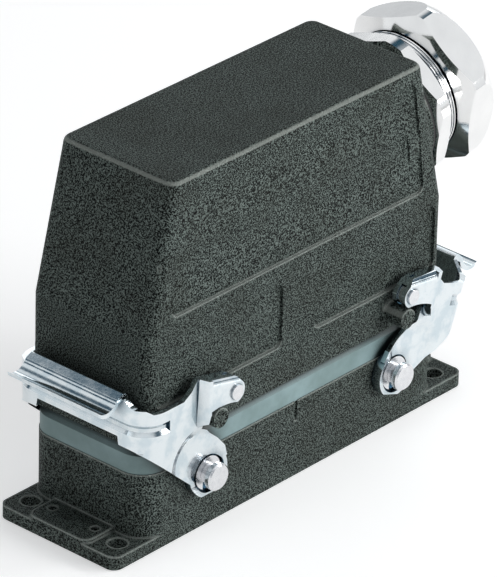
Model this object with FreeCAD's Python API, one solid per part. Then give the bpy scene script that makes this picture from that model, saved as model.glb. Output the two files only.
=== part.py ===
import FreeCAD
import Part
import math
import os

# Heavy duty rectangular connector, mated: a cast hood with a side cable entry on a cast
# bulkhead housing, held down by two sheet steel locking levers.
# X runs along the long side with the cable entry at +X, Z is up, and the panel is at Z = 0.
# The origin is the middle of the four panel holes.

V = FreeCAD.Vector
X_AXIS = V(1, 0, 0)
Y_AXIS = V(0, 1, 0)
Z_AXIS = V(0, 0, 1)

# Bulkhead housing
body_length = 122.0
body_width = 43.0
body_corner = 8.0
body_height = 23.4
flange_ledge = 11.0
flange_thickness = 4.0
flange_corner = 3.0
pad_rise = 1.2
pad_width = 22.0
panel_hole_margin_x = 7.0
panel_hole_margin_y = 5.5
panel_hole_diameter = 5.5
pad_hole_spacing = 15.6
pad_hole_diameter = 2.6
pad_hole_depth = 2.4
end_wall = 5.0
side_wall = 3.9
cavity_corner = 4.0
collar_wall = 1.6
collar_height = 6.0
lug_height = 9.0
lug_length = 9.0
lug_width = 8.0
centre_mark_width = 1.2
centre_mark_height = 6.0
centre_mark_depth = 0.5

# Profile seal
seal_height = 7.6
seal_bevel = 2.0
seal_inset = 0.2
seal_clearance = 0.2

# Hood
hood_setback = 1.0
hood_corner = 3.5
hood_wall = 3.0
crease_height = 64.2
top_height = 107.8
end_taper = 9.7
side_taper = 0.9
top_edge_radius = 1.8
side_panel_depth = 0.7
side_panel_bottom = 68.6
side_panel_top_margin = 4.8
side_panel_end_margin = 8.6
side_panel_lean = 4.7
side_panel_corner = 2.5
pocket_depth = 0.8
pocket_bottom = 43.0
pocket_top_margin = 1.6
pocket_inner_x = 6.6
pocket_end_margin = 3.5
pocket_corner = 2.5

# Locking pegs of the hood and pivots of the levers
pivot_inset = 22.7
pivot_z = 17.9
hood_peg_rise = 18.4
hood_peg_diameter = 5.9
hood_peg_proud = 0.4
peg_root_diameter = 6.9
peg_root_height = 0.5
pivot_diameter = 6.0
pivot_head_diameter = 8.0
pivot_head_thickness = 1.8
pivot_proud = 0.3
pivot_embed = 2.6
press_clearance = 0.02
running_clearance = 0.05
ring_thickness = 0.8
ring_outer_diameter = 9.8
ring_groove_diameter = 5.0
ring_gap_width = 4.2

# Locking levers
sheet = 1.5
cheek_gap = 1.8
lever_end_gap = 1.7
lever_corner = 8.0
bar_bottom = 36.0
bar_top = 44.2
tab_bottom = 32.6
tab_inner_y = 15.0
grip_half_width = 16.6
grip_ridge = 49.6
grip_length = 9.7
grip_tip_height = 47.4
grip_dip_height = 46.3
grip_dip_out = 5.0
bead_height = 39.2
bead_width = 3.4
bead_depth = 0.8
bead_run = 9.5
eye_radius = 6.9
eye_flat = 6.1
press_radius = 10.4
press_shift_x = -5.0
press_shift_z = 5.6
press_floor_radius = 8.0
press_depth = 0.9
cup_radius = 5.6
cup_floor_radius = 5.2
cup_clearance = 0.2
claw_width = 3.1
claw_sheet = 1.4
claw_bend = 2.0
claw_ramp = 1.5
claw_top_rise = 29.9
claw_top_slope = 13.5
roller_radius = 2.9
roller_path_radius = 24.6
roller_angle = 15.1
roller_side_clearance = 0.1
ear_radius = 3.3
ear_reach = 9.3
rivet_diameter = 2.4
rivet_head_diameter = 4.3
rivet_head_height = 0.6
rivet_inner_head_height = 0.4
peg_clearance = 0.35
lever_open_in_photo = 20.0

# Contact inserts
insert_clearance = 0.5
insert_flange = 3.0
insert_corner = 3.0
insert_screw_inset = 3.5
insert_screw_diameter = 3.5
insert_screw_head = 5.8
insert_screw_head_height = 2.4
insert_screw_reach = 7.0
base_insert_bottom = 6.0
base_block_height = 12.8
plug_end_step = 9.8
plug_side_step = 5.5
plug_rise = 14.2
shroud_wall = 2.8
shroud_clearance = 0.3
shroud_overlap = 12.0
insert_gap = 1.0
block_end_step = 8.5
block_side_step = 2.5
hood_block_height = 17.0
contact_columns = 12
contact_margin = 6.1
contact_row_spacing = 12.0
pin_width = 2.4
pin_clearance = 0.1
socket_wall = 0.55
contact_hole_clearance = 0.05
wire_entry = 4.2
wire_entry_depth = 7.0
terminal_screw_diameter = 4.4
terminal_screw_length = 3.0
terminal_screw_proud = 0.4
earth_plate_sheet = 1.2
earth_plate_width = 9.0
earth_plate_height = 11.0
earth_screw_height = 6.82
earth_screw_diameter = 3.6
earth_screw_head = 6.4
earth_screw_head_height = 2.2

# Cable gland
gland_tilt = 8.5
gland_axis_height = 84.4
boss_radius = 19.6
boss_height = 0.8
gland_thread_diameter = 36.0
gland_thread_depth = 11.0
gland_bore_diameter = 28.5
gland_gasket_thickness = 0.7
gland_gasket_diameter = 39.0
body_hex_flats = 40.4
body_hex_corner_diameter = 43.8
body_hex_length = 6.0
body_hex_turn = -17.0
gland_neck_diameter = 36.6
gland_neck_length = 4.4
gland_nut_length = 13.0
nut_hex_flats = 43.4
nut_hex_corner_diameter = 48.8
nut_hex_turn = -19.5
nut_back_diameter = 37.4
nut_back_bevel = 3.0
nut_dome_length = 5.8
nut_mouth_diameter = 40.6
nut_mouth_land = 2.4
washer_play = 0.5
gland_stem_diameter = 34.4
gland_nut_lip = 2.4
thread_clearance = 0.1
seal_seat_wall = 2.0
cable_diameter = 24.0
gland_seal_length = 7.0
gland_washer_length = 1.2

# What follows from the sizes above
half_width = body_width / 2
flange_length = body_length + 2 * flange_ledge
pad_height = flange_thickness + pad_rise
panel_hole_x = flange_length / 2 - panel_hole_margin_x
panel_hole_y = body_width / 2 - panel_hole_margin_y
cavity_length = body_length - 2 * end_wall
cavity_width = body_width - 2 * side_wall
seal_bottom = body_height
seal_top = body_height + seal_height
hood_bottom = seal_top
hood_length = body_length - 2 * hood_setback
hood_width = body_width
top_length = hood_length - 2 * end_taper
top_width = hood_width - 2 * side_taper
pivot_x = body_length / 2 - pivot_inset
hood_peg_z = pivot_z + hood_peg_rise
lever_end_x = body_length / 2 + lever_end_gap + sheet
cheek_reach = half_width + cheek_gap + sheet
claw_reach = cheek_reach + claw_width
cup_floor = half_width + cup_clearance + sheet
pivot_reach = claw_reach + pivot_proud
hood_peg_reach = claw_reach + hood_peg_proud
insert_length = cavity_length - 2 * insert_clearance
insert_width = cavity_width - 2 * insert_clearance
insert_seat = base_insert_bottom + base_block_height
lug_bottom = insert_seat - lug_height
plug_length = insert_length - 2 * plug_end_step
plug_width = insert_width - 2 * plug_side_step
plug_top = insert_seat + insert_flange + plug_rise
shroud_bottom = plug_top - shroud_overlap
hood_seat = plug_top + insert_gap
hood_block_low = hood_seat + insert_flange
hood_block_top = hood_block_low + hood_block_height
block_length = insert_length - 2 * block_end_step
block_width = insert_width - 2 * block_side_step
contact_pitch = (plug_length - 2 * contact_margin) / (contact_columns - 1)
screw_x = insert_length / 2 - insert_screw_inset
screw_y = insert_width / 2 - insert_screw_inset
nut_bore_diameter = gland_stem_diameter - 2 * nut_mouth_land
end_slope = end_taper / (top_height - crease_height)
gland_exit_x = hood_length / 2 - end_slope * (gland_axis_height - crease_height) + 0.4


def put(name, shape):
    """Writes one node, after a check that every solid of it is sound."""
    solids = shape.Solids
    for solid in solids:
        if not solid.isValid():
            raise ValueError(name + " has a solid that isn't valid")
    out = solids[0] if len(solids) == 1 else Part.makeCompound(solids)
    out.exportStep(os.path.join("parts", name + ".step"))
    volume = sum(s.Volume for s in solids)
    facets = sum(len(s.tessellate(0.1)[1]) for s in solids)
    print(f"{name:24s} solids {len(solids):3d}  volume {volume:10.1f}  facets {facets:5d}")
    totals.append(facets)


def rounded_wire(length, width, corner, z):
    """A rectangle with round corners, centred on Z, as one closed wire."""
    a = length / 2 - corner
    b = width / 2 - corner
    k = corner * math.sqrt(0.5)
    hx = length / 2
    hy = width / 2
    edges = [
        Part.LineSegment(V(-a, -hy, z), V(a, -hy, z)),
        Part.Arc(V(a, -hy, z), V(a + k, -b - k, z), V(hx, -b, z)),
        Part.LineSegment(V(hx, -b, z), V(hx, b, z)),
        Part.Arc(V(hx, b, z), V(a + k, b + k, z), V(a, hy, z)),
        Part.LineSegment(V(a, hy, z), V(-a, hy, z)),
        Part.Arc(V(-a, hy, z), V(-a - k, b + k, z), V(-hx, b, z)),
        Part.LineSegment(V(-hx, b, z), V(-hx, -b, z)),
        Part.Arc(V(-hx, -b, z), V(-a - k, -b - k, z), V(-a, -hy, z)),
    ]
    return Part.Wire([e.toShape() for e in edges])


def rounded_block(length, width, corner, z0, z1):
    face = Part.Face(rounded_wire(length, width, corner, z0))
    return face.extrude(V(0, 0, z1 - z0))


def taper(length0, width0, length1, width1, corner, z0, z1):
    wires = [rounded_wire(length0, width0, corner, z0), rounded_wire(length1, width1, corner, z1)]
    return Part.makeLoft(wires, True, True)


def box(x0, x1, y0, y1, z0, z1):
    return Part.makeBox(x1 - x0, y1 - y0, z1 - z0, V(x0, y0, z0))


def post(x, y, z0, z1, diameter):
    return Part.makeCylinder(diameter / 2, z1 - z0, V(x, y, z0), Z_AXIS)


def cross_post(x, z, y0, y1, diameter):
    """A cylinder along Y between two values of Y."""
    low = min(y0, y1)
    return Part.makeCylinder(diameter / 2, abs(y1 - y0), V(x, low, z), Y_AXIS)


def prism(points, low, high, axis):
    """A polygon in XZ extruded along Y, or in YZ extruded along X."""
    if axis == "y":
        corners = [V(p[0], low, p[1]) for p in points]
        sweep = V(0, high - low, 0)
    else:
        corners = [V(low, p[0], p[1]) for p in points]
        sweep = V(high - low, 0, 0)
    wire = Part.makePolygon(corners + corners[:1])
    return Part.Face(wire).extrude(sweep)


def regular_prism(flats, sides, z0, z1, turn=0.0):
    """A regular prism on Z, given by the distance across its flats."""
    radius = flats / 2 / math.cos(math.pi / sides)
    angles = [math.radians(turn) + 2 * math.pi * (i + 0.5) / sides for i in range(sides)]
    corners = [V(radius * math.cos(a), radius * math.sin(a), z0) for a in angles]
    return Part.Face(Part.makePolygon(corners + corners[:1])).extrude(V(0, 0, z1 - z0))


def mirror_x(shape):
    return shape.mirror(V(0, 0, 0), X_AXIS)


def fuse_all(shapes):
    out = shapes[0].fuse(shapes[1:]) if len(shapes) > 1 else shapes[0]
    return out.removeSplitter()


def four_corners(x, y):
    return [(sx * x, sy * y) for sx in (-1, 1) for sy in (-1, 1)]


def make_housing():
    """The cast bulkhead housing: flange, body, seal collar and lugs for the insert."""
    flange = rounded_block(flange_length, body_width, flange_corner, 0, flange_thickness)
    pad = rounded_block(flange_length, pad_width, flange_corner, 0, pad_height)
    body = rounded_block(body_length, body_width, body_corner, 0, body_height)
    collar = rounded_block(
        cavity_length + 2 * collar_wall,
        cavity_width + 2 * collar_wall,
        cavity_corner + collar_wall,
        body_height - 1,
        body_height + collar_height,
    )
    solid = fuse_all([flange, pad, body, collar])
    top = body_height + collar_height + 1
    solid = solid.cut(rounded_block(cavity_length, cavity_width, cavity_corner, -1, top))
    lugs = []
    for sx in (-1, 1):
        for sy in (-1, 1):
            x_end = sx * (cavity_length / 2 + 1)
            y_end = sy * (cavity_width / 2 + 0.8)
            x_in = sx * (cavity_length / 2 - lug_length)
            y_in = sy * (cavity_width / 2 - lug_width)
            lugs.append(
                box(min(x_end, x_in), max(x_end, x_in), min(y_end, y_in), max(y_end, y_in),
                    lug_bottom, insert_seat)
            )
    solid = fuse_all([solid] + lugs)
    drills = []
    places = four_corners(screw_x, screw_y)
    drills += eight_sided(places, insert_screw_diameter, lug_bottom - 1, insert_seat + 1)
    for x, y in four_corners(panel_hole_x, panel_hole_y):
        drills.append(post(x, y, -1, pad_height + 1, panel_hole_diameter))
    for x, y in four_corners(panel_hole_x, pad_hole_spacing / 2):
        drills.append(post(x, y, pad_height - pad_hole_depth, pad_height + 1, pad_hole_diameter))
    for sx in (-1, 1):
        for sy in (-1, 1):
            inner = sy * (half_width - pivot_embed)
            drills.append(
                cross_post(sx * pivot_x, pivot_z, inner, sy * (half_width + 1),
                           pivot_diameter + 2 * press_clearance)
            )
    for sy in (-1, 1):
        y_far = sy * (half_width + 1)
        y_near = sy * (half_width - centre_mark_depth)
        drills.append(
            box(-centre_mark_width / 2, centre_mark_width / 2, min(y_far, y_near), max(y_far, y_near),
                body_height - centre_mark_height, body_height + 1)
        )
    return solid.cut(drills)


def make_seal():
    """The rubber profile seal between housing and hood, with its top edge bevelled inwards."""
    length = body_length - 2 * seal_inset
    width = body_width - 2 * seal_inset
    corner = body_corner - seal_inset
    bevel_z = seal_top - seal_bevel
    lower = rounded_block(length, width, corner, seal_bottom, bevel_z)
    small = 2 * seal_bevel * 0.9
    wires = [
        rounded_wire(length, width, corner, bevel_z),
        rounded_wire(length - small, width - small, corner - small / 2, seal_top),
    ]
    upper = Part.makeLoft(wires, True, True)
    grow = 2 * (collar_wall + seal_clearance)
    inner = rounded_block(
        cavity_length + grow,
        cavity_width + grow,
        cavity_corner + grow / 2,
        seal_bottom - 1,
        seal_top + 1,
    )
    return fuse_all([lower, upper]).cut(inner)


def hood_form(shrink, z_low, z_top):
    """The hood's outer form, or its inner one when it shrinks by the wall."""
    lower = rounded_block(
        hood_length - 2 * shrink, hood_width - 2 * shrink, max(hood_corner - shrink, 0.8), z_low, crease_height
    )
    upper = taper(
        hood_length - 2 * shrink,
        hood_width - 2 * shrink,
        top_length - 2 * shrink,
        top_width - 2 * shrink,
        max(hood_corner - shrink, 0.8),
        crease_height,
        z_top,
    )
    return lower, upper


def hood_room():
    """The hood's inner form, with plain corners."""
    a = hood_length / 2 - hood_wall
    b = hood_width / 2 - hood_wall
    c = top_length / 2 - hood_wall
    d = top_width / 2 - hood_wall
    lower = box(-a, a, -b, b, hood_bottom - 1, crease_height)
    high = top_height - hood_wall
    wires = []
    for x, y, z in ((a, b, crease_height), (c, d, high)):
        corners = [V(-x, -y, z), V(x, -y, z), V(x, y, z), V(-x, y, z)]
        wires.append(Part.makePolygon(corners + corners[:1]))
    return fuse_all([lower, Part.makeLoft(wires, True, True)])


def gland_place(shape):
    """Moves a shape built on +Z to the cable entry's axis, which leans up from +X."""
    out = shape.copy()
    out.rotate(V(0, 0, 0), Y_AXIS, 90.0 - gland_tilt)
    out.translate(V(gland_exit_x, 0, gland_axis_height))
    return out


def side_cutter(points, corner, depth):
    """Both long sides: what lies outside a form shrunk by depth, within an XZ outline."""
    cutters = []
    lower, upper = hood_form(depth, hood_bottom - 1, top_height)
    core = fuse_all([lower, upper])
    for sy in (-1, 1):
        y0 = sy * (hood_width / 2 - 4)
        y1 = sy * (hood_width / 2 + 2)
        block = prism(points, min(y0, y1), max(y0, y1), "y")
        across = [e for e in block.Edges if abs(e.tangentAt(e.FirstParameter).y) > 0.99]
        block = block.makeFillet(corner, across)
        cutters.append(block.cut(core))
    return cutters


def make_hood():
    """The cast hood: tapered shell, side panels, locking pegs, entry boss and screw bosses."""
    lower, upper = hood_form(0.0, hood_bottom, top_height)
    top_edges = []
    for edge in upper.Edges:
        if edge.BoundBox.ZMin > top_height - 0.01:
            top_edges.append(edge)
    upper = upper.makeFillet(top_edge_radius, top_edges)
    form = fuse_all([lower, upper])
    boss_outer = gland_place(post(0, 0, -gland_thread_depth, boss_height, 2 * boss_radius))
    solid = fuse_all([form, boss_outer])
    bottom_half = hood_length / 2 - side_panel_end_margin
    top_half = bottom_half - side_panel_lean
    panel_top = top_height - side_panel_top_margin
    cuts = side_cutter(
        [
            (-bottom_half, side_panel_bottom),
            (bottom_half, side_panel_bottom),
            (top_half, panel_top),
            (-top_half, panel_top),
        ],
        side_panel_corner,
        side_panel_depth,
    )
    pocket_outer_x = hood_length / 2 - pocket_end_margin
    pocket_top = crease_height - pocket_top_margin
    for sx in (-1, 1):
        cuts += side_cutter(
            [
                (sx * pocket_inner_x, pocket_bottom),
                (sx * pocket_outer_x, pocket_bottom),
                (sx * pocket_outer_x, pocket_top),
                (sx * pocket_inner_x, pocket_top),
            ],
            pocket_corner,
            pocket_depth,
        )
    spot = post(0, 0, boss_height, boss_height + body_hex_length, body_hex_corner_diameter + 1.0)
    cuts.append(gland_place(spot))
    solid = solid.cut(cuts + [hood_room()])
    collar = gland_place(post(0, 0, -gland_thread_depth, 0, gland_thread_diameter + 2 * hood_wall))
    bosses = [collar.common(form)]
    boss_top = hood_block_low + insert_screw_reach + 2.0
    for x, y in four_corners(screw_x, screw_y):
        x_out = math.copysign(hood_length / 2 - 1, x)
        y_out = math.copysign(hood_width / 2 - 1, y)
        x_in = x - math.copysign(4.0, x)
        y_in = y - math.copysign(4.0, y)
        bosses.append(
            box(min(x_in, x_out), max(x_in, x_out), min(y_in, y_out), max(y_in, y_out),
                hood_block_low, boss_top)
        )
    pegs = []
    for sx in (-1, 1):
        for sy in (-1, 1):
            x = sx * pivot_x
            start = sy * (hood_width / 2 - 1.5)
            peg = cross_post(x, hood_peg_z, start, sy * hood_peg_reach, hood_peg_diameter)
            root_end = sy * (hood_width / 2 + peg_root_height)
            root = cross_post(x, hood_peg_z, start, root_end, peg_root_diameter)
            pegs += [peg, root]
    solid = fuse_all([solid] + bosses + pegs)
    places = four_corners(screw_x, screw_y)
    drills = eight_sided(places, insert_screw_diameter, hood_block_low - 1, boss_top - 1)
    entry = post(0, 0, -gland_thread_depth - 1, boss_height + 1, gland_thread_diameter + 2 * thread_clearance)
    drills.append(gland_place(entry))
    return solid.cut(drills)


def make_pivot_peg(sx, sy):
    """A turned peg: shank in the housing, bearing, ring groove, shaft and head."""
    head_low = pivot_reach - pivot_head_thickness
    ring_low = cup_floor + running_clearance
    ring_high = ring_low + ring_thickness + 2 * running_clearance
    pieces = [
        (half_width - pivot_embed, ring_low, pivot_diameter),
        (ring_low, ring_high, ring_groove_diameter),
        (ring_high, head_low, pivot_diameter),
        (head_low, pivot_reach, pivot_head_diameter),
    ]
    x = sx * pivot_x
    parts = [cross_post(x, pivot_z, sy * y0, sy * y1, d) for y0, y1, d in pieces]
    peg = fuse_all(parts)
    rim = [
        e for e in peg.Edges
        if abs(abs(e.BoundBox.Center.y) - pivot_reach) < 0.01 and e.BoundBox.YLength < 0.01
    ]
    return peg.makeChamfer(0.5, rim)


def make_ring(sx, sy):
    """An open retaining ring that sits in the peg's groove in front of the lever."""
    x = sx * pivot_x
    y0 = sy * (cup_floor + 2 * running_clearance)
    y1 = y0 + sy * ring_thickness
    outer = cross_post(x, pivot_z, y0, y1, ring_outer_diameter)
    inner = cross_post(x, pivot_z, y0 - sy, y1 + sy, ring_groove_diameter + 2 * running_clearance)
    gap = box(
        x - ring_gap_width / 2, x + ring_gap_width / 2, min(y0, y1) - 1, max(y0, y1) + 1,
        pivot_z - ring_outer_diameter, pivot_z
    )
    return outer.cut([inner, gap])


def roller_centre():
    """The roller's middle on the left lever, in X and Z."""
    a = math.radians(roller_angle)
    return (
        -pivot_x + roller_path_radius * math.sin(a),
        pivot_z + roller_path_radius * math.cos(a),
    )


def bar_section(y_side):
    """The bar's upright section on the cheek, with its stiffening bead pressed inwards."""
    outer = cheek_reach
    inner = cheek_reach - sheet
    low = pivot_z - eye_radius - 1
    high = grip_ridge + 2.0
    half = bead_width / 2
    floor = half * 0.35
    outline = [
        (outer, low),
        (outer, bead_height - half),
        (outer - bead_depth, bead_height - floor),
        (outer - bead_depth, bead_height + floor),
        (outer, bead_height + half),
        (outer, high),
        (inner, high),
        (inner, bead_height + half),
        (inner - bead_depth, bead_height + floor),
        (inner - bead_depth, bead_height - floor),
        (inner, bead_height - half),
        (inner, low),
    ]
    return [(y_side * p[0], p[1]) for p in outline]


def lever_band():
    """The bent strip: two cheeks and the end bar round the housing's short end."""
    k = lever_corner * math.sqrt(0.5)
    x_end = -lever_end_x
    a = x_end + lever_corner
    b = cheek_reach - lever_corner
    x_stop = -(lever_end_x - bead_run)
    path = Part.Wire(
        [
            Part.LineSegment(V(x_stop, -cheek_reach, 0), V(a, -cheek_reach, 0)).toShape(),
            Part.Arc(V(a, -cheek_reach, 0), V(a - k, -b - k, 0), V(x_end, -b, 0)).toShape(),
            Part.LineSegment(V(x_end, -b, 0), V(x_end, b, 0)).toShape(),
            Part.Arc(V(x_end, b, 0), V(a - k, b + k, 0), V(a, cheek_reach, 0)).toShape(),
            Part.LineSegment(V(a, cheek_reach, 0), V(x_stop, cheek_reach, 0)).toShape(),
        ]
    )
    corners = [V(x_stop, p[0], p[1]) for p in bar_section(-1)]
    section = Part.makePolygon(corners + corners[:1])
    bent = path.makePipeShell([section], True, False)
    cheeks = []
    for sy in (-1, 1):
        y0 = sy * (cheek_reach - sheet)
        y1 = sy * cheek_reach
        x_far = -pivot_x + roller_path_radius
        low = pivot_z - eye_radius - 1
        cheeks.append(box(x_stop, x_far, min(y0, y1), max(y0, y1), low, pivot_z + claw_top_rise + 8))
    return fuse_all([bent] + cheeks)


def ear_outline():
    """The top of a claw seen from the side, from its fold to the lobe over the peg."""
    px = -pivot_x
    slope = math.tan(math.radians(claw_top_slope))
    top = pivot_z + claw_top_rise
    return [
        (px - 5.6, top + 5.6 * slope),
        (px + 3.4, top - 3.4 * slope),
        (px + 5.0, top - 0.8),
        (px + 7.4, top - 2.2),
        (px + ear_reach, pivot_z + roller_path_radius + 0.6),
        (px + ear_reach, pivot_z + roller_path_radius - 0.8),
        (px + 6.4, pivot_z + roller_path_radius - 2.0),
    ]


def cheek_outline():
    """The cheek seen from the side: bar, neck, back ear over the peg, throat and eye."""
    px = -pivot_x
    outline = [
        (-lever_end_x - 2, grip_ridge + 1),
        (-lever_end_x + 2.2, grip_ridge + 1),
        (-lever_end_x + 2.2, bar_top + 1.4),
        (-lever_end_x + 4.2, bar_top),
        (px - 11.0, bar_top),
        (px - 8.0, bar_top + 1.8),
    ]
    outline += ear_outline()
    outline += [
        (px + 3.0, hood_peg_z + 0.6),
        (px - 3.4, hood_peg_z + 1.6),
        (px - 3.4, hood_peg_z - 3.4),
        (px - 1.0, hood_peg_z - 4.8),
        (px + 0.2, hood_peg_z - 6.2),
        (px + 3.3, pivot_z + eye_radius + 2.6),
        (px + 5.8, pivot_z + 6.4),
        (px + 6.7, pivot_z + 3.2),
        (px, pivot_z),
        (px - 3.0, pivot_z - 4.5),
        (px - 25.9, pivot_z + 15.6),
        (-lever_end_x - 2, pivot_z + 15.6),
    ]
    return outline


def peg_sweep(y0, y1):
    """The room that the hood's peg needs in the lever, from locked to open."""
    px = -pivot_x
    peg = hood_peg_diameter / 2
    outer = hood_peg_rise + peg + peg_clearance - 0.1
    inner = hood_peg_rise - peg - peg_clearance
    ring = cross_post(px, pivot_z, y0, y1, 2 * outer).cut(cross_post(px, pivot_z, y0 - 1, y1 + 1, 2 * inner))
    left = px - peg - peg_clearance
    keep = box(left, px + outer + 1, y0 - 1, y1 + 1, pivot_z, pivot_z + outer + 1)
    return ring.common(keep)


def end_outline():
    """The end bar seen from the end: ridge for the grip, bar and the lower tabs."""
    r = grip_half_width
    w = cheek_reach + 2
    shoulder = grip_ridge - sheet - 0.1
    return [
        (-w, bar_top + 1.2),
        (-r - 3.2, bar_top + 1.2),
        (-r - 2.0, bar_top + 2.0),
        (-r, shoulder),
        (r, shoulder),
        (r + 2.0, bar_top + 2.0),
        (r + 3.2, bar_top + 1.2),
        (w, bar_top + 1.2),
        (w, tab_bottom),
        (tab_inner_y + 1.0, tab_bottom),
        (tab_inner_y, tab_bottom + 1.0),
        (tab_inner_y - 0.4, bar_bottom),
        (-tab_inner_y + 0.4, bar_bottom),
        (-tab_inner_y, tab_bottom + 1.0),
        (-tab_inner_y - 1.0, tab_bottom),
        (-w, tab_bottom),
    ]


def grip_plate():
    """The finger grip: the bar's top edge bent over, hollowed, and turned up at its tip."""
    x_in = -lever_end_x + sheet
    x_out = -lever_end_x
    foot = grip_ridge - 4.0
    t = sheet - 0.1
    y0 = -grip_half_width
    fall_x = x_out - 2.4
    x_dip = x_out - grip_dip_out
    x_tip = x_out - grip_length

    def p(x, z):
        return V(x, y0, z)

    edges = [
        Part.LineSegment(p(x_in, foot), p(x_in, grip_ridge - 1.6)),
        Part.Arc(p(x_in, grip_ridge - 1.6), p(x_in - 0.5, grip_ridge - 0.45), p(x_in - 1.7, grip_ridge)),
        Part.LineSegment(p(x_in - 1.7, grip_ridge), p(fall_x, grip_ridge - 0.9)),
        Part.Arc(p(fall_x, grip_ridge - 0.9), p(x_dip, grip_dip_height), p(x_tip, grip_tip_height)),
        Part.LineSegment(p(x_tip, grip_tip_height), p(x_tip + 0.4, grip_tip_height - t)),
        Part.Arc(
            p(x_tip + 0.4, grip_tip_height - t), p(x_dip + 0.3, grip_dip_height - t),
            p(fall_x + 0.6, grip_ridge - 0.9 - t)
        ),
        Part.LineSegment(p(fall_x + 0.6, grip_ridge - 0.9 - t), p(x_out, grip_ridge - t - 0.5)),
        Part.LineSegment(p(x_out, grip_ridge - t - 0.5), p(x_out, foot)),
        Part.LineSegment(p(x_out, foot), p(x_in, foot)),
    ]
    wire = Part.Wire([e.toShape() for e in edges])
    return Part.Face(wire).extrude(V(0, 2 * grip_half_width, 0))


def claw_fold(sy):
    """The strip over the top of a claw and its front leaf, bent over from the cheek."""
    t = claw_sheet
    r = claw_bend
    k = r * math.sqrt(0.5)
    y_in = cheek_reach - 0.5
    y_out = claw_reach
    deep = -roller_path_radius

    def p(y, v):
        return V(-2 * ear_reach, sy * y, v)

    edges = [
        Part.LineSegment(p(y_in, 0), p(y_out - r, 0)),
        Part.Arc(p(y_out - r, 0), p(y_out - r + k, -r + k), p(y_out, -r)),
        Part.LineSegment(p(y_out, -r), p(y_out, deep)),
        Part.LineSegment(p(y_out, deep), p(y_out - t, deep)),
        Part.LineSegment(p(y_out - t, deep), p(y_out - t, -t)),
        Part.LineSegment(p(y_out - t, -t), p(y_in, -t)),
        Part.LineSegment(p(y_in, -t), p(y_in, 0)),
    ]
    wire = Part.Wire([e.toShape() for e in edges])
    strip = Part.Face(wire).extrude(V(4 * ear_reach, 0, 0))
    strip.rotate(V(0, 0, 0), Y_AXIS, claw_top_slope)
    strip.translate(V(-pivot_x, 0, pivot_z + claw_top_rise))
    return strip


def claw_leaf(sy):
    """The claw's front leaf, its fold and the slanted wall that joins them to the cheek."""
    rx, rz = roller_centre()
    px = -pivot_x
    low = cheek_reach - 1
    high = claw_reach + 1
    outline = ear_outline()
    outline += [
        (px + 3.0, hood_peg_z + 1.6),
        (px - 3.5, hood_peg_z + 1.8),
        (px - 4.4, hood_peg_z - 0.4),
        (px - 5.9, hood_peg_z - 1.6),
    ]
    y0 = min(sy * low, sy * high)
    y1 = max(sy * low, sy * high)
    shape = prism(outline, y0, y1, "y")
    lobe = cross_post(rx, rz, y0, y1, 2 * ear_radius)
    shape = fuse_all([shape, lobe])
    x0 = px - 5.9
    x1 = x0 + claw_ramp
    wall = [
        (x0 - 0.2, cheek_reach - 0.5),
        (x0, cheek_reach),
        (x1, claw_reach),
        (x1 + claw_sheet, claw_reach),
        (x1 + claw_sheet, claw_reach - 0.6),
        (x0 + 1.8, cheek_reach - 0.5),
    ]
    corners = [V(p[0], sy * p[1], pivot_z) for p in wall]
    face = Part.Face(Part.makePolygon(corners + corners[:1]))
    wall_solid = face.extrude(V(0, 0, claw_top_rise + 4))
    deep = 2 * roller_path_radius
    slanted = Part.makeBox(2 * deep, 2 * body_width, deep, V(-deep, -body_width, -deep))
    slanted.rotate(V(0, 0, 0), Y_AXIS, claw_top_slope)
    slanted.translate(V(px, 0, pivot_z + claw_top_rise))
    open_side = [
        (x0 - 4, cheek_reach - 1),
        (x0, cheek_reach),
        (x1, claw_reach),
        (x1, claw_reach + 2),
        (x0 - 4, claw_reach + 2),
    ]
    corners = [V(p[0], sy * p[1], pivot_z - 1) for p in open_side]
    outside = Part.Face(Part.makePolygon(corners + corners[:1])).extrude(V(0, 0, deep))
    fold = claw_fold(sy).cut(outside)
    return fuse_all([fold, wall_solid.common(slanted)]).common(shape)


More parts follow.
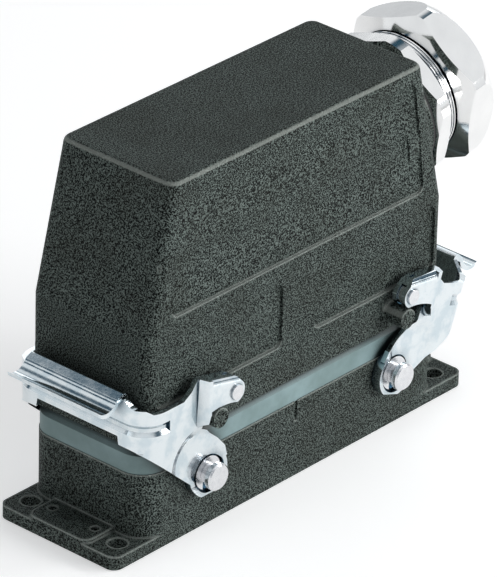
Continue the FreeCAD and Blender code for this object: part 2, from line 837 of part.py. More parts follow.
def make_lever():
    """The left lever in its locked place, one stamped and bent sheet."""
    band = lever_band()
    rx, rz = roller_centre()
    px = -pivot_x
    far = claw_reach + 2
    near = half_width - 1
    side = prism(cheek_outline(), -far, far, "y")
    eye = cross_post(px, pivot_z, -far, far, 2 * eye_radius)
    eye = eye.common(box(px - 20, px + 20, -far, far, pivot_z - eye_flat, pivot_z + 20))
    lobe = cross_post(rx, rz, -far, far, 2 * ear_radius)
    silhouette = fuse_all([side, eye, lobe])
    limit = -lever_end_x + 2.1
    top = pivot_z + claw_top_rise + 8
    end = prism(end_outline(), -lever_end_x - 2, limit + lever_corner, "x")
    end_low = box(-lever_end_x - 3, limit, -far, far, 0, top)
    bend_high = box(limit, limit + lever_corner, -far, far, bar_bottom, top)
    bend_low = box(limit, limit + lever_corner, -far, far, 0, bar_bottom)
    rest = box(limit + lever_corner, 0, -far, far, 0, top)
    zones = [end.common(fuse_all([end_low, bend_high])), bend_low, rest]
    silhouette = silhouette.common(fuse_all(zones))
    plate = band.common(silhouette)
    added = []
    cuts = []
    for sy in (-1, 1):
        added.append(claw_leaf(sy))
        y_face = sy * cheek_reach
        y_back = sy * (cheek_reach - sheet)
        press_x = px + press_shift_x
        press_z = pivot_z + press_shift_z
        press = Part.makeCone(
            press_radius, press_floor_radius, press_depth, V(press_x, y_face, press_z), V(0, -sy, 0)
        )
        press_back = press.copy()
        press_back.translate(V(0, -sy * sheet, 0))
        added.append(press_back.common(silhouette))
        cup_depth = cheek_reach - cup_floor
        cuts.append(press)
        cuts.append(
            Part.makeCone(cup_radius, cup_floor_radius, cup_depth, V(px, y_face, pivot_z), V(0, -sy, 0))
        )
        added.append(cross_post(px, pivot_z, y_back, sy * (cup_floor - sheet), 2 * eye_radius).common(silhouette))
        bore = pivot_diameter + 2 * running_clearance
        cuts.append(cross_post(px, pivot_z, sy * near, sy * far, bore))
        rivet_bore = rivet_diameter + 2 * press_clearance
        cuts.append(cross_post(rx, rz, sy * near, sy * far, rivet_bore))
        cuts.append(peg_sweep(min(sy * near, sy * far), max(sy * near, sy * far)))
    solid = fuse_all([plate, grip_plate()] + added)
    return solid.cut(cuts)


def make_rivet(sy):
    """The rivet that carries a claw's roller, with a flat head on each side."""
    rx, rz = roller_centre()
    y_in = sy * (cheek_reach - sheet)
    y_out = sy * claw_reach
    shank = cross_post(rx, rz, y_in, y_out, rivet_diameter)
    head = cross_post(rx, rz, y_out, y_out + sy * rivet_head_height, rivet_head_diameter)
    tail = cross_post(rx, rz, y_in, y_in - sy * rivet_inner_head_height, rivet_head_diameter - 0.6)
    return fuse_all([shank, head, tail])


def make_roller(sy):
    """The steel roller between the two walls of a claw."""
    rx, rz = roller_centre()
    y0 = sy * (cheek_reach + roller_side_clearance)
    y1 = sy * (claw_reach - claw_sheet - roller_side_clearance)
    outer = cross_post(rx, rz, y0, y1, 2 * roller_radius)
    bore = cross_post(rx, rz, y0 - sy, y1 + sy, rivet_diameter + 2 * running_clearance)
    return outer.cut(bore)


def right_side(shape):
    """The right lever stands a little open in its rest place, as the photograph shows it."""
    out = mirror_x(shape)
    out.rotate(V(pivot_x, 0, pivot_z), Y_AXIS, lever_open_in_photo)
    return out


def contact_places():
    """The middles of the contacts, in X and Y."""
    first = -contact_pitch * (contact_columns - 1) / 2
    places = []
    for row in (-1, 1):
        for i in range(contact_columns):
            places.append((first + i * contact_pitch, row * contact_row_spacing / 2))
    return places


def eight_sided(places, flats, z0, z1):
    unit = regular_prism(flats, 8, z0, z1)
    out = []
    for x, y in places:
        one = unit.copy()
        one.translate(V(x, y, 0))
        out.append(one)
    return out


def wire_entries(places, z0, z1):
    h = wire_entry / 2
    return [box(x - h, x + h, y - h, y + h, z0, z1) for x, y in places]


def screw_seats(z0, z1):
    """Room for the terminal screws in both long sides of a wiring block."""
    out = []
    y_wall = block_width / 2
    z = (z0 + z1) / 2
    for x, y in contact_places():
        s = math.copysign(1, y)
        y0 = s * (y_wall - terminal_screw_length - 0.1)
        y1 = s * (y_wall + 1)
        out.append(box_round(x, z, min(y0, y1), max(y0, y1), terminal_screw_diameter + 0.2))
    return out


def box_round(x, z, y0, y1, flats):
    """An eight-sided bar along Y, given by its flats."""
    bar = regular_prism(flats, 8, 0, y1 - y0)
    bar.rotate(V(0, 0, 0), X_AXIS, -90)
    bar.translate(V(x, y0, z))
    return bar


def make_base_insert():
    """The female insert: wiring block, flange with screw holes and plug with contact holes."""
    block = rounded_block(block_length, block_width, insert_corner, base_insert_bottom, insert_seat)
    flange = rounded_block(insert_length, insert_width, insert_corner, insert_seat, insert_seat + insert_flange)
    plug = rounded_block(plug_length, plug_width, insert_corner, insert_seat, plug_top)
    solid = fuse_all([block, flange, plug])
    cuts = eight_sided(four_corners(screw_x, screw_y), insert_screw_diameter, insert_seat - 1, hood_seat)
    places = contact_places()
    hole = pin_width + 2 * pin_clearance + 2 * socket_wall + 2 * contact_hole_clearance
    bottom = base_insert_bottom + wire_entry_depth
    cuts += eight_sided(places, hole, bottom - 0.5, plug_top + 1)
    cuts += wire_entries(places, base_insert_bottom - 1, bottom)
    cuts += screw_seats(base_insert_bottom, insert_seat)
    return solid.cut(cuts)


def make_hood_insert():
    """The male insert: shroud round the female plug, flange and wiring block."""
    low = hood_seat
    shroud = rounded_block(
        plug_length + 2 * shroud_clearance + 2 * shroud_wall,
        plug_width + 2 * shroud_clearance + 2 * shroud_wall,
        insert_corner + shroud_wall,
        shroud_bottom,
        low,
    )
    flange = rounded_block(insert_length, insert_width, insert_corner, low, low + insert_flange)
    block = rounded_block(
        block_length, block_width, insert_corner, low + insert_flange, hood_block_top
    )
    solid = fuse_all([shroud, flange, block])
    cavity = rounded_block(
        plug_length + 2 * shroud_clearance, plug_width + 2 * shroud_clearance, insert_corner, shroud_bottom - 1, low
    )
    cuts = [cavity]
    cuts += eight_sided(four_corners(screw_x, screw_y), insert_screw_diameter, low - 1, hood_block_low + 1)
    places = contact_places()
    top = hood_block_top - wire_entry_depth
    cuts += eight_sided(places, pin_width + 2 * contact_hole_clearance, low - 1, top + 0.5)
    cuts += wire_entries(places, top, hood_block_top + 1)
    cuts += screw_seats(low + insert_flange, hood_block_top)
    return solid.cut(cuts)


def make_pins():
    """The male contact pins, which reach down into the sockets."""
    low = shroud_bottom + 2.0
    high = hood_block_top - wire_entry_depth + 0.4
    return Part.makeCompound(eight_sided(contact_places(), pin_width, low, high))


def make_sockets():
    """The female contacts, each a tube with a closed wiring end."""
    bottom = base_insert_bottom + wire_entry_depth - 0.4
    top = plug_top - 0.6
    outer_flats = pin_width + 2 * pin_clearance + 2 * socket_wall
    bore_flats = pin_width + 2 * pin_clearance
    out = []
    outers = eight_sided(contact_places(), outer_flats, bottom, top)
    bores = eight_sided(contact_places(), bore_flats, shroud_bottom + 1.2, top + 1)
    for outer, bore in zip(outers, bores):
        out.append(outer.cut(bore))
    return Part.makeCompound(out)


def make_terminal_screws(z0, z1):
    """The clamping screws of one insert, in both long sides of its wiring block."""
    z = (z0 + z1) / 2
    y_wall = block_width / 2
    out = []
    for x, y in contact_places():
        s = math.copysign(1, y)
        y0 = s * (y_wall - terminal_screw_length)
        y1 = s * (y_wall + terminal_screw_proud)
        out.append(box_round(x, z, min(y0, y1), max(y0, y1), terminal_screw_diameter))
    return Part.makeCompound(out)


def make_insert_screws(seat, head_up):
    """Four screws that hold an insert, with heads on its flange."""
    shank = insert_screw_diameter - 2 * thread_clearance
    places = four_corners(screw_x, screw_y)
    if head_up:
        face = seat + insert_flange
        heads = eight_sided(places, insert_screw_head, face, face + insert_screw_head_height)
        shanks = eight_sided(places, shank, seat - insert_screw_reach, face)
    else:
        heads = eight_sided(places, insert_screw_head, seat - insert_screw_head_height, seat)
        shanks = eight_sided(places, shank, seat, seat + insert_flange + insert_screw_reach)
    return Part.makeCompound([fuse_all([h, s]) for h, s in zip(heads, shanks)])


def make_earth_plate(z_flange, up):
    """An angled earth plate at the entry end of an insert, with a hole for its screw."""
    s = 1 if up else -1
    x0 = block_length / 2 + 0.1
    h = earth_plate_width / 2
    t = earth_plate_sheet
    z1 = z_flange + s * earth_plate_height
    upright = box(x0, x0 + t, -h, h, min(z_flange, z1), max(z_flange, z1))
    foot = box(x0, insert_length / 2 - 1, -h, h, min(z_flange, z_flange + s * t), max(z_flange, z_flange + s * t))
    z_hole = z_flange + s * earth_screw_height
    hole = Part.makeCylinder(earth_screw_diameter / 2, 6, V(x0 - 1, 0, z_hole), X_AXIS)
    return fuse_all([upright, foot]).cut(hole)


def make_earth_screw(z_flange, up):
    s = 1 if up else -1
    x0 = block_length / 2 + 0.1
    z = z_flange + s * earth_screw_height
    head = Part.makeCylinder(earth_screw_head / 2, earth_screw_head_height, V(x0 + earth_plate_sheet, 0, z), X_AXIS)
    shank = Part.makeCylinder(earth_screw_diameter / 2 - 0.05, earth_plate_sheet, V(x0, 0, z), X_AXIS)
    return fuse_all([head, shank])


# Stations along the gland's axis, from the hood's boss outwards
gasket_low = boss_height
hex_low = gasket_low + gland_gasket_thickness
hex_high = hex_low + body_hex_length
nut_low = hex_high + gland_neck_length
nut_high = nut_low + gland_nut_length
stem_high = nut_high - gland_nut_lip - gland_washer_length - thread_clearance


def turned(profile):
    """A solid of revolution on Z from edges that run from axis to axis."""
    last = profile[-1].toShape().valueAt(profile[-1].LastParameter)
    first = profile[0].toShape().valueAt(profile[0].FirstParameter)
    edges = [e.toShape() for e in profile]
    edges.append(Part.LineSegment(last, first).toShape())
    return Part.Face(Part.Wire(edges)).revolve(V(0, 0, 0), Z_AXIS, 360)


def make_gland_body():
    thread = post(0, 0, boss_height - gland_thread_depth, hex_low, gland_thread_diameter)
    radius = body_hex_corner_diameter / 2
    bevel = 1.3
    outline = [V(0, 0, hex_low), V(radius - 2 * bevel, 0, hex_low), V(radius, 0, hex_low + bevel)]
    outline += [V(radius, 0, hex_high - bevel), V(radius - 2 * bevel, 0, hex_high), V(0, 0, hex_high)]
    profile = [Part.LineSegment(p, q) for p, q in zip(outline, outline[1:])]
    hexagon = regular_prism(body_hex_flats, 6, hex_low, hex_high, body_hex_turn).common(turned(profile))
    neck = post(0, 0, hex_high, nut_low - 4 * thread_clearance, gland_neck_diameter)
    stem = post(0, 0, hex_high, stem_high, gland_stem_diameter)
    solid = fuse_all([thread, hexagon, neck, stem])
    seat = post(0, 0, stem_high - gland_seal_length, stem_high + 1, gland_stem_diameter - 2 * seal_seat_wall)
    bore = post(0, 0, -gland_thread_depth - 1, stem_high + 1, gland_bore_diameter)
    return gland_place(solid.cut([bore, seat]))


def make_gland_gasket():
    ring = post(0, 0, gasket_low, hex_low, gland_gasket_diameter)
    hole_diameter = gland_thread_diameter + 2 * thread_clearance
    return gland_place(ring.cut(post(0, 0, gasket_low - 1, hex_low + 1, hole_diameter)))


def make_gland_seal():
    """The rubber sealing insert that the nut presses round the cable."""
    low = stem_high - gland_seal_length
    outer = gland_stem_diameter - 2 * seal_seat_wall - 2 * thread_clearance
    ring = post(0, 0, low, stem_high, outer)
    return gland_place(ring.cut(post(0, 0, low - 1, stem_high + 1, cable_diameter)))


def make_gland_washer():
    ring = post(0, 0, stem_high, stem_high + gland_washer_length, gland_stem_diameter - 2 * washer_play)
    return gland_place(ring.cut(post(0, 0, stem_high - 1, nut_high, nut_bore_diameter)))


def make_gland_nut():
    """The clamping nut: a hexagon bevelled at the back and domed towards its mouth."""
    radius = nut_hex_corner_diameter / 2
    back = nut_back_diameter / 2
    mouth = nut_mouth_diameter / 2
    dome_z = nut_high - nut_dome_length
    mid = V((radius + mouth) / 2 + 0.6, 0, (dome_z + nut_high) / 2 + 0.4)
    profile = [
        Part.LineSegment(V(0, 0, nut_low), V(back, 0, nut_low)),
        Part.LineSegment(V(back, 0, nut_low), V(radius, 0, nut_low + nut_back_bevel)),
        Part.LineSegment(V(radius, 0, nut_low + nut_back_bevel), V(radius, 0, dome_z)),
        Part.Arc(V(radius, 0, dome_z), mid, V(mouth, 0, nut_high)),
        Part.LineSegment(V(mouth, 0, nut_high), V(0, 0, nut_high)),
    ]
    solid = regular_prism(nut_hex_flats, 6, nut_low, nut_high, nut_hex_turn).common(turned(profile))
    room = post(0, 0, nut_low - 1, nut_high - gland_nut_lip, gland_stem_diameter + 2 * thread_clearance)
    through = post(0, 0, nut_low - 1, nut_high + 1, nut_bore_diameter)
    return gland_place(solid.cut([room, through]))


def build():
    """Builds every node and writes it."""
    put("hood", make_hood())
    put("bulkhead_housing", make_housing())
    put("profile_seal", make_seal())
    lever = make_lever()
    put("lever_left", lever)
    put("lever_right", right_side(lever))
    rivets = Part.makeCompound([make_rivet(-1), make_rivet(1)])
    put("claw_rivets_left", rivets)
    put("claw_rivets_right", right_side(rivets))
    for name, sy in (("front", -1), ("back", 1)):
        roller = make_roller(sy)
        put("roller_left_" + name, roller)
        put("roller_right_" + name, right_side(roller))
    corners = [(sx, sy) for sx in (-1, 1) for sy in (-1, 1)]
    put("pivot_pegs", Part.makeCompound([make_pivot_peg(sx, sy) for sx, sy in corners]))
    put("retaining_rings", Part.makeCompound([make_ring(sx, sy) for sx, sy in corners]))
    put("insert_female", make_base_insert())
    put("insert_male", make_hood_insert())
    put("contact_pins", make_pins())
    put("contact_sockets", make_sockets())
    put("terminal_screws_female", make_terminal_screws(base_insert_bottom, insert_seat))
    put("terminal_screws_male", make_terminal_screws(hood_block_low, hood_block_top))
    put("insert_screws_female", make_insert_screws(insert_seat, True))
    put("insert_screws_male", make_insert_screws(hood_seat, False))
    put("earth_plate_female", make_earth_plate(insert_seat, False))
    put("earth_plate_male", make_earth_plate(hood_block_low, True))
    put("earth_screw_female", make_earth_screw(insert_seat, False))
    put("earth_screw_male", make_earth_screw(hood_block_low, True))
    put("gland_body", make_gland_body())
    put("gland_gasket", make_gland_gasket())
    put("gland_seal", make_gland_seal())
    put("gland_washer", make_gland_washer())
    put("gland_nut", make_gland_nut())


totals = []
os.makedirs("parts", exist_ok=True)
build()
print("facets in all", sum(totals))
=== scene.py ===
from math import cos, radians, sin

import bpy
from mathutils import Matrix, Vector


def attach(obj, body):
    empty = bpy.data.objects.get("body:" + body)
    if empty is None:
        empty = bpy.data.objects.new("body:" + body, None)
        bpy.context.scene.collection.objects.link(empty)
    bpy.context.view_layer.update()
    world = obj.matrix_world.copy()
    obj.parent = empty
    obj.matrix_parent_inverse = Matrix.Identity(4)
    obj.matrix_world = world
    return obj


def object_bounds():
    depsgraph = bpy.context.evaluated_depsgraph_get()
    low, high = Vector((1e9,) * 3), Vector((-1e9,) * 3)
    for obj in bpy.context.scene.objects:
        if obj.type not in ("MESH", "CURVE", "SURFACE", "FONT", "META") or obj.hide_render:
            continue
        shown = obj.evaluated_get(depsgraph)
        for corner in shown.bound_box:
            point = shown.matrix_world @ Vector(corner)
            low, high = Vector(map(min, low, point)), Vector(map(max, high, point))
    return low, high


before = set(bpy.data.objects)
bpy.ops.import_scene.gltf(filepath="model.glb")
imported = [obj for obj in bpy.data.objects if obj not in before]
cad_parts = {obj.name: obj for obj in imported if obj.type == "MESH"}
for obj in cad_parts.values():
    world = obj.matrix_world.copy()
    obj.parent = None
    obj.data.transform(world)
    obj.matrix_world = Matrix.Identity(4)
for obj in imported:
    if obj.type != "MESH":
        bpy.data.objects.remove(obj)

cad_low, cad_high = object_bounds()

# The studio
# A pale floor under the connector, soft lamps round it, and the camera where the photograph
# was taken from: long lens, looking down on the near end of the long side.
camera_data = bpy.data.cameras.new("photo_camera")
camera_data.sensor_fit = "VERTICAL"
camera_data.sensor_height = 24.0
photo_focal_pixels = 6042.82
photo_height_pixels = 577.0
camera_data.lens = photo_focal_pixels * camera_data.sensor_height / photo_height_pixels
camera_data.clip_end = 20.0
photo_camera = bpy.data.objects.new("photo_camera", camera_data)
bpy.context.scene.collection.objects.link(photo_camera)
camera_right = Vector((0.66684, -0.74484, 0.02320))
camera_up = Vector((0.33983, 0.33166, 0.88007))
camera_back = Vector((-0.66321, -0.57898, 0.47428))
photo_camera.matrix_world = Matrix.Translation((-1.08843, -0.95349, 0.82967)) @ Matrix(
    (camera_right, camera_up, camera_back)
).transposed().to_4x4()
bpy.context.scene.camera = photo_camera
bpy.context.scene.view_settings.view_transform = "Standard"


def add_lamp(name, place, target, size, power):
    """A rectangular soft lamp at a place, facing a target."""
    lamp = bpy.data.lights.new(name, "AREA")
    lamp.shape = "RECTANGLE"
    lamp.size, lamp.size_y = size
    lamp.energy = power
    holder = bpy.data.objects.new(name, lamp)
    bpy.context.scene.collection.objects.link(holder)
    aim = Vector(target) - Vector(place)
    holder.rotation_euler = aim.to_track_quat("-Z", "Y").to_euler()
    holder.location = place


middle = (0.0, 0.0, 0.05)
hood_middle = (0.0, 0.0, 0.07)
add_lamp("lamp_back", (0.9, 0.8, 0.62), middle, (1.0, 0.5), 1.4)
add_lamp("lamp_top", (-0.1, 0.1, 1.2), middle, (0.8, 0.5), 0.9)
add_lamp("lamp_front", (0.55, -1.0, 0.4), middle, (0.8, 0.4), 10.0)
add_lamp("lamp_edge", (0.8, -0.55, 0.7), hood_middle, (0.25, 0.25), 2.5)
add_lamp("lamp_left", (-0.9, 0.2, 0.5), middle, (0.4, 0.3), 0.4)


class Signal:
    """A shader socket that takes part in Python sums, so that a mask reads as a formula."""

    def __init__(self, tree, socket):
        self.tree = tree
        self.socket = socket

    def math(self, operation, *others):
        return add_node(self.tree, "ShaderNodeMath", {"operation": operation}, (self,) + others)

    def __add__(self, other):
        return self.math("ADD", other)

    def __mul__(self, other):
        return self.math("MULTIPLY", other)

    def __sub__(self, other):
        return self.math("SUBTRACT", other)

    def __rsub__(self, other):
        return add_node(self.tree, "ShaderNodeMath", {"operation": "SUBTRACT"}, (other, self))

    __radd__ = __add__
    __rmul__ = __mul__

    def clamp(self, low, high):
        """The signal stretched so that low becomes 0 and high becomes 1."""
        return add_node(
            self.tree,
            "ShaderNodeMapRange",
            {"interpolation_type": "SMOOTHSTEP"},
            {"Value": self, "From Min": low, "From Max": high},
        )


def feed(tree, node, name, value):
    """Gives a node's socket a number, a colour or a signal."""
    socket = node.inputs[name]
    if isinstance(value, Signal):
        tree.links.new(value.socket, socket)
    elif socket.type == "RGBA":
        socket.default_value = (*value, 1.0)
    else:
        socket.default_value = value


def add_node(tree, kind, settings=None, inputs=None, output=0):
    """Adds a node, makes its settings, then feeds its sockets, and gives one output."""
    node = tree.nodes.new(kind)
    for key, value in (settings or {}).items():
        if key == "stops":
            ramp = node.color_ramp
            while len(ramp.elements) < len(value):
                ramp.elements.new(0.5)
            for element, (place, colour) in zip(ramp.elements, value):
                element.position = place
                element.color = (*colour, 1.0)
        else:
            setattr(node, key, value)
    pairs = inputs.items() if isinstance(inputs, dict) else enumerate(inputs or ())
    for name, value in pairs:
        feed(tree, node, name, value)
    return Signal(tree, node.outputs[output])


def mix_colour(tree, factor, first, second):
    """Blends two colours or colour signals."""
    sockets = {0: factor, 6: first, 7: second}
    return add_node(tree, "ShaderNodeMix", {"data_type": "RGBA"}, sockets, 2)


def start_material(name):
    """A new material with its tree, its shader and the object's own coordinates."""
    material = bpy.data.materials.new(name)
    material.use_nodes = True
    tree = material.node_tree
    shader = tree.nodes["Principled BSDF"]
    place = add_node(tree, "ShaderNodeTexCoord", output=3)
    return material, tree, shader, place


world = bpy.data.worlds.new("studio_world")
bpy.context.scene.world = world
world.use_nodes = True
world_tree = world.node_tree
background = world_tree.nodes["Background"]
seen = add_node(world_tree, "ShaderNodeLightPath", output=0)
through = add_node(world_tree, "ShaderNodeLightPath", output=6)
mirrored = add_node(world_tree, "ShaderNodeLightPath", output=3)
direction = add_node(world_tree, "ShaderNodeTexCoord")
height = add_node(world_tree, "ShaderNodeSeparateXYZ", None, (direction,), 2)
dark = (0.02, 0.07, 0.11)
pale = (0.92, 0.94, 0.96)
grey = (0.64, 0.66, 0.68)
bands = ((0.0, pale), (0.1, pale), (0.14, grey), (0.25, grey), (0.29, dark), (0.35, dark))
bands += ((0.4, pale), (0.49, pale), (0.52, dark), (0.59, dark), (0.63, pale), (0.77, pale))
bands += ((0.8, dark), (0.84, dark), (0.88, pale))
around = add_node(world_tree, "ShaderNodeValToRGB", {"stops": bands}, (height,))
room = mix_colour(world_tree, mirrored, (0.32, 0.33, 0.34), around)
room = mix_colour(world_tree, (seen + through).math("MINIMUM", 1.0), room, (1.0, 1.0, 1.0))
world_tree.links.new(room.socket, background.inputs["Color"])

bpy.ops.object.select_all(action="DESELECT")
bpy.ops.mesh.primitive_plane_add(size=6.0, location=(0.0, 0.0, cad_low.z - 0.0002))
floor = bpy.context.object
floor.name = "floor"
floor_material, floor_tree, floor_shader = start_material("floor_paper")[:3]
feed(floor_tree, floor_shader, "Base Color", (0.86, 0.86, 0.86))
feed(floor_tree, floor_shader, "Roughness", 0.9)
feed(floor_tree, floor_shader, "Specular IOR Level", 0.1)
feed(floor_tree, floor_shader, "Emission Color", (1.0, 1.0, 1.0))
feed(floor_tree, floor_shader, "Emission Strength", 0.4)
floor.data.materials.append(floor_material)

# Castings: bulkhead housing and hood
# Both are pressure castings with a dark, finely wrinkled powder coat. The coat is thin; painted
# highlights make it paler on the edges and on the rounded ridges that face up.


def noise(tree, place, scale, detail=3.0, roughness=0.55):
    """A noise signal on a place; scale is waves to the metre."""
    inputs = {"Vector": place, "Scale": scale, "Detail": detail, "Roughness": roughness}
    return add_node(tree, "ShaderNodeTexNoise", None, inputs)


def bump(tree, height, distance, strength=1.0):
    """A normal from a height signal, with the height's depth in metres."""
    inputs = {"Strength": strength, "Distance": distance, "Height": height}
    return add_node(tree, "ShaderNodeBump", None, inputs)


def painted_edge_highlight(tree, radius):
    """A mask for a painted highlight: 1 along edges within a radius where the shape turns upwards, 0 on its
    faces.
    """
    bevel = add_node(tree, "ShaderNodeBevel", {"samples": 4}, {"Radius": radius})
    flat = add_node(tree, "ShaderNodeNewGeometry", output=1)
    along = add_node(tree, "ShaderNodeVectorMath", {"operation": "DOT_PRODUCT"}, (bevel, flat), 1)
    upward = add_node(tree, "ShaderNodeSeparateXYZ", None, (bevel,), 2)
    return (1.0 - along).clamp(0.0, 0.1) * upward.clamp(0.1, 0.6)


def dress(node, material):
    """Gives a node of the frame its finish."""
    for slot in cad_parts[node].material_slots:
        slot.material = material


coat, coat_tree, coat_shader, coat_place = start_material("wrinkle_coat")
coat_fine = noise(coat_tree, coat_place, 2700.0, 1.0, 0.6)
coat_grain = noise(coat_tree, coat_place, 1800.0, 1.0, 0.6)
coat_cloud = noise(coat_tree, coat_place, 60.0, 3.0, 0.6)
coat_height = (coat_fine * 0.7 + coat_grain * 0.3).clamp(0.44, 0.57)
coat_base = mix_colour(coat_tree, coat_height, (0.001, 0.002, 0.002), (0.13, 0.16, 0.147))
coat_base = mix_colour(coat_tree, coat_cloud.clamp(0.35, 0.7) * 0.25, coat_base, (0.018, 0.017, 0.012))
# Painted highlight: a pale tone on the edges that turn upwards.
coat_base = mix_colour(coat_tree, painted_edge_highlight(coat_tree, 0.0011) * 0.8, coat_base, (0.42, 0.46, 0.43))
# Painted highlight: a pale band where the surface faces half upwards, on the rounded ridges.
coat_facing = add_node(coat_tree, "ShaderNodeNewGeometry", output=1)
coat_up = add_node(coat_tree, "ShaderNodeSeparateXYZ", None, (coat_facing,), 2)
coat_ridge_highlight = coat_up.clamp(0.32, 0.5) * (1.0 - coat_up.clamp(0.78, 0.94))
coat_base = mix_colour(coat_tree, coat_ridge_highlight * 0.6, coat_base, (0.36, 0.39, 0.36))
feed(coat_tree, coat_shader, "Base Color", coat_base)
feed(coat_tree, coat_shader, "Roughness", coat_cloud * 0.12 + 0.42)
feed(coat_tree, coat_shader, "Specular IOR Level", 0.05)
feed(coat_tree, coat_shader, "Normal", bump(coat_tree, coat_height, 0.00022, 1.0))
for node in ("hood", "bulkhead_housing"):
    dress(node, coat)

# Profile seal
# A moulded blue-grey rubber frame that fills the step between hood and housing.
# It is satin, a little dusty, with a fine moulded grain.


def painted_recess_shade(tree, reach):
    """A mask for painted shade: 1 deep in a recess or under another piece within a reach, 0 in the open."""
    open_share = add_node(tree, "ShaderNodeAmbientOcclusion", {"samples": 8}, {"Distance": reach}, 1)
    return 1.0 - open_share.clamp(0.4, 1.0)


rubber, rubber_tree, rubber_shader, rubber_place = start_material("seal_rubber")
rubber_dust = noise(rubber_tree, rubber_place, 60.0, 4.0, 0.6)
rubber_grain = noise(rubber_tree, rubber_place, 2200.0, 2.0, 0.5)
rubber_base = mix_colour(rubber_tree, rubber_dust.clamp(0.35, 0.7), (0.13, 0.2, 0.2), (0.2, 0.29, 0.3))
# Painted shade: the seal turns dark in recesses and under the hood and levers.
rubber_base = mix_colour(rubber_tree, painted_recess_shade(rubber_tree, 0.014), rubber_base, (0.008, 0.016, 0.016))
feed(rubber_tree, rubber_shader, "Base Color", rubber_base)
feed(rubber_tree, rubber_shader, "Roughness", rubber_dust * 0.15 + 0.45)
feed(rubber_tree, rubber_shader, "Normal", bump(rubber_tree, rubber_grain, 0.00005, 0.6))
dress("profile_seal", rubber)

# Locking levers
# Each lever is stamped from 1.5 mm sheet, bent round the end, folded over at its claws, and
# bright zinc plated, so it shows faint rolling lines and a soft mottled shine.


def stretched(tree, place, factors):
    """The place with each axis stretched, so that a pattern runs along one of them."""
    return add_node(tree, "ShaderNodeVectorMath", {"operation": "MULTIPLY"}, (place, factors))


plated, plated_tree, plated_shader, plated_place = start_material("plated_sheet")
plated_lines = noise(plated_tree, stretched(plated_tree, plated_place, (1.0, 1.0, 9.0)), 420.0, 3.0, 0.6)
plated_mottle = noise(plated_tree, plated_place, 190.0, 3.0, 0.55)
plated_base = mix_colour(plated_tree, plated_mottle.clamp(0.36, 0.6), (0.6, 0.68, 0.72), (0.74, 0.79, 0.81))
# Painted shade: dark blue in recesses, cups and under the folds of the sheet.
plated_base = mix_colour(plated_tree, painted_recess_shade(plated_tree, 0.005), plated_base, (0.02, 0.06, 0.09))
feed(plated_tree, plated_shader, "Base Color", plated_base)
feed(plated_tree, plated_shader, "Metallic", 1.0)
feed(plated_tree, plated_shader, "Roughness", plated_mottle * 0.1 + 0.05)
feed(plated_tree, plated_shader, "Normal", bump(plated_tree, plated_lines + plated_mottle, 0.00003, 0.35))
for node in ("lever_left", "lever_right"):
    dress(node, plated)

# Pegs, rivets, rollers and rings
# Turned steel pieces, plated like the levers. The pegs sit in the housing's walls and carry
# the levers on a ring each, and the rivets hold the rollers in the claws.


def grained_finish(name, grain, low, high, roughness, spread, height=None, metallic=0.0):
    """A finish with one fine grain in its colour and shine, and in its height if it has one."""
    material, tree, shader, place = start_material(name)
    pattern = noise(tree, place, *grain)
    feed(tree, shader, "Base Color", mix_colour(tree, pattern, low, high))
    feed(tree, shader, "Metallic", metallic)
    feed(tree, shader, "Roughness", pattern * spread + roughness)
    if height:
        feed(tree, shader, "Normal", bump(tree, pattern, *height))
    return material


turned = grained_finish(
    "turned_steel",
    (900.0, 3.0, 0.5),
    (0.62, 0.63, 0.65),
    (0.8, 0.8, 0.81),
    roughness=0.2,
    spread=0.1,
    height=(0.00004, 0.5),
    metallic=1.0,
)
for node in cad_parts:
    if node.startswith(("roller", "claw_rivets", "pivot_pegs", "retaining")):
        dress(node, turned)

# Contact inserts
# Glass filled plastic blocks that carry the silver plated contacts, with a steel clamp screw
# to each and an earth plate at the end. Four screws hold each block in its casting.
block = grained_finish(
    "insert_plastic",
    (700.0, 3.0, 0.55),
    (0.36, 0.36, 0.34),
    (0.46, 0.46, 0.44),
    roughness=0.4,
    spread=0.15,
    height=(0.00005, 0.5),
)
for node in ("insert_male", "insert_female"):
    dress(node, block)
contact = grained_finish(
    "silver_plate",
    (1100.0, 3.0, 0.5),
    (0.7, 0.66, 0.55),
    (0.86, 0.83, 0.74),
    roughness=0.22,
    spread=0.1,
    metallic=1.0,
)
for node in ("contact_pins", "contact_sockets"):
    dress(node, contact)
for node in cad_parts:
    if "screw" in node or node.startswith("earth_plate"):
        dress(node, turned)

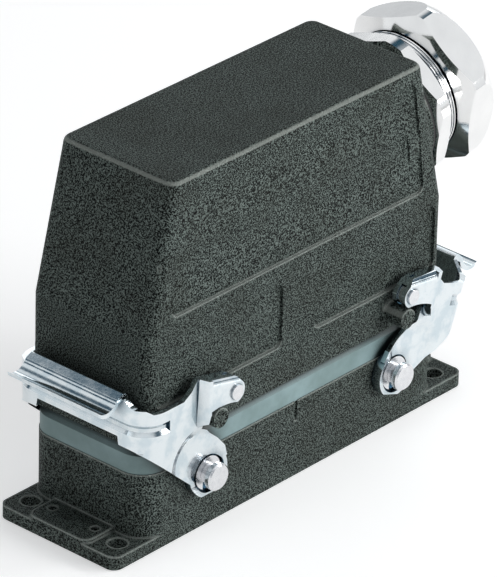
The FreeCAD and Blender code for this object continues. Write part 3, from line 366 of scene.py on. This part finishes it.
# Cable gland
# Nickel plated brass: a hexagon body in the hood's end and a clamping nut with a turned rim.
# Ridges of its thread show between the two. The rubber pieces are black.
nickel, nickel_tree, nickel_shader, nickel_place = start_material("bright_nickel")
nickel_mottle = noise(nickel_tree, nickel_place, 120.0, 3.0, 0.5)
nickel_fine = noise(nickel_tree, nickel_place, 1300.0, 2.0, 0.5)
nickel_base = mix_colour(nickel_tree, nickel_mottle, (0.74, 0.74, 0.74), (0.88, 0.88, 0.87))
# Painted shade: dark blue in the gland's grooves and recesses.
nickel_base = mix_colour(nickel_tree, painted_recess_shade(nickel_tree, 0.002), nickel_base, (0.02, 0.05, 0.09))
feed(nickel_tree, nickel_shader, "Base Color", nickel_base)
feed(nickel_tree, nickel_shader, "Metallic", 1.0)
feed(nickel_tree, nickel_shader, "Roughness", nickel_mottle * 0.06 + 0.05)
nickel_waves = nickel_mottle + nickel_fine * 0.1
feed(nickel_tree, nickel_shader, "Normal", bump(nickel_tree, nickel_waves, 0.00003, 0.3))
for node in ("gland_body", "gland_nut", "gland_washer"):
    dress(node, nickel)
gland_tilt = radians(8.5)
gland_axis = Vector((cos(gland_tilt), 0.0, sin(gland_tilt)))
hood_exit = Vector((0.055906, 0.0, 0.0844))
first_ridge = 0.0081
thread_pitch = 0.001
thread_radius = 0.0183
ridge_radius = 0.0003
ridge_count = 4
ridge_middle = hood_exit + gland_axis * first_ridge
bpy.ops.object.select_all(action="DESELECT")
bpy.ops.mesh.primitive_circle_add(
    vertices=8,
    radius=ridge_radius,
    location=ridge_middle + Vector((0.0, thread_radius, 0.0)),
    rotation=(0.0, -gland_tilt, 0.0),
)
gland_thread = bpy.context.object
gland_thread.name = "gland_thread"
gland_thread.data.name = "gland_thread"
bpy.ops.object.transform_apply(location=True, rotation=True, scale=True)
bpy.ops.object.mode_set(mode="EDIT")
bpy.ops.mesh.select_all(action="SELECT")
bpy.ops.mesh.spin(steps=96, angle=radians(360.0), center=ridge_middle, axis=gland_axis)
bpy.ops.mesh.select_all(action="SELECT")
bpy.ops.mesh.remove_doubles(threshold=0.000002)
bpy.ops.mesh.normals_make_consistent(inside=False)
for turn in range(ridge_count - 1):
    bpy.ops.mesh.duplicate()
    bpy.ops.transform.translate(value=gland_axis * thread_pitch)
bpy.ops.object.mode_set(mode="OBJECT")
bpy.ops.object.shade_smooth()
gland_thread.data.materials.append(nickel)
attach(gland_thread, "shell")
black = grained_finish(
    "black_rubber",
    (900.0, 3.0, 0.5),
    (0.012, 0.012, 0.012),
    (0.03, 0.03, 0.03),
    roughness=0.5,
    spread=0.2,
    height=(0.00005, 0.5),
)
for node in ("gland_seal", "gland_gasket"):
    dress(node, black)
